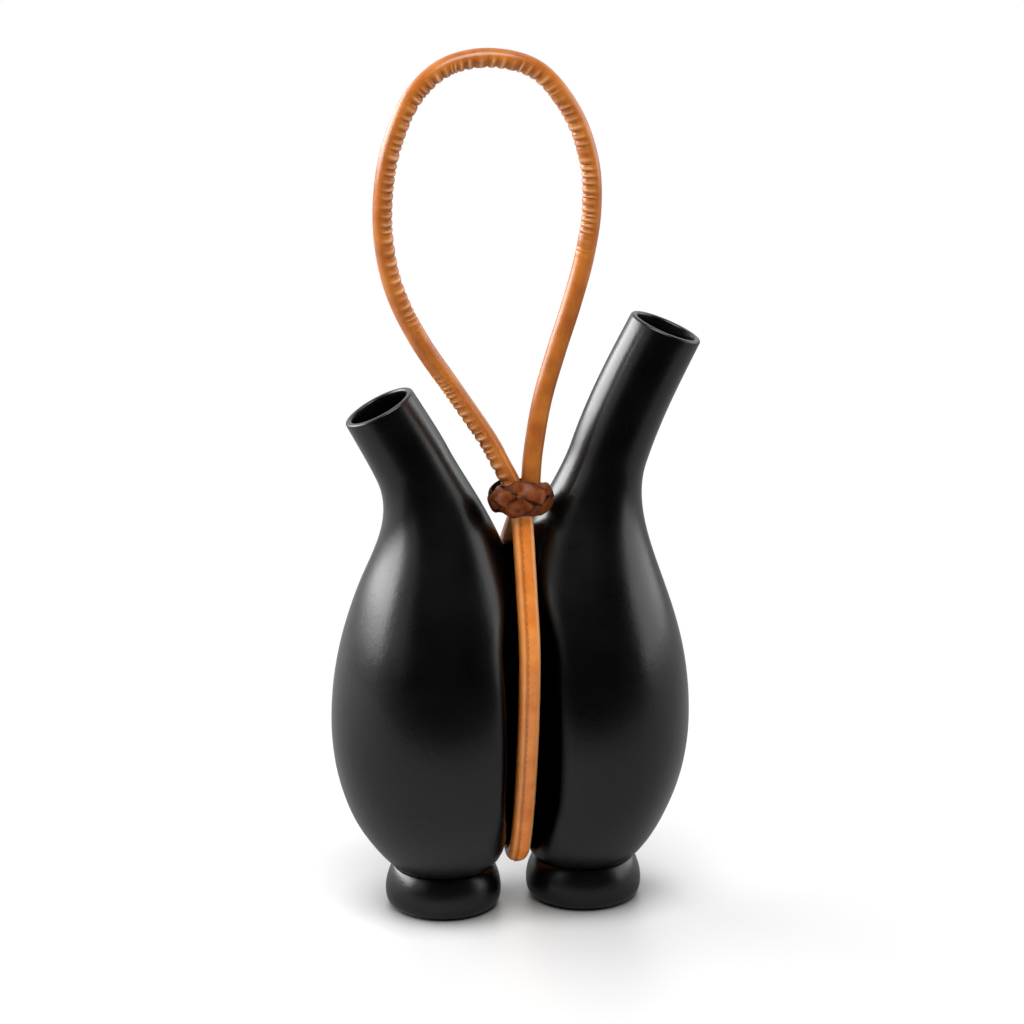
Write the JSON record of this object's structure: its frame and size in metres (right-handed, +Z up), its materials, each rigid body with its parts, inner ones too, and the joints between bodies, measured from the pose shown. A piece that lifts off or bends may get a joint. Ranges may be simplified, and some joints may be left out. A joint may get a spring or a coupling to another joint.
{
  "type": "double bottle vase",
  "caption": "Black stoneware vase of joined bottles on turned feet, with outward-leaning necks and a tan leather sling that is knotted between them and stands up as a carrying loop.",
  "frame": {"origin": "middle of the overall box across and in depth, on the table under the feet", "axes": "+X along the line of the two feet, from the shorter-necked bottle to the longer-necked one; -Y to the front; +Z up"},
  "size_m": [0.186, 0.1096, 0.4461],
  "materials": {
    "black_stoneware": "matt black glaze",
    "brown_leather": "waxed dark brown",
    "tan_leather": "smooth vegetable-tanned tan",
    "cotton_cord": "undyed twisted cord"
  },
  "bodies": {
    "vase": {"left_bottle": "black_stoneware", "right_bottle": "black_stoneware", "left_foot": "black_stoneware", "right_foot": "black_stoneware", "knot": "brown_leather", "sling_cover": "tan_leather", "sling_core": "cotton_cord"},
    "loop": {"loop_cover": "tan_leather", "loop_core": "cotton_cord"}
  },
  "joints": [
    {"name": "loop_swing", "type": "hinge", "parent": "vase", "child": "loop", "pos_m": [0.00103, -0.0125, 0.22676], "axis": [1, 0, 0], "range_deg": [-55, 55], "stiffness_Nm_per_rad": 0.2}
  ]
}
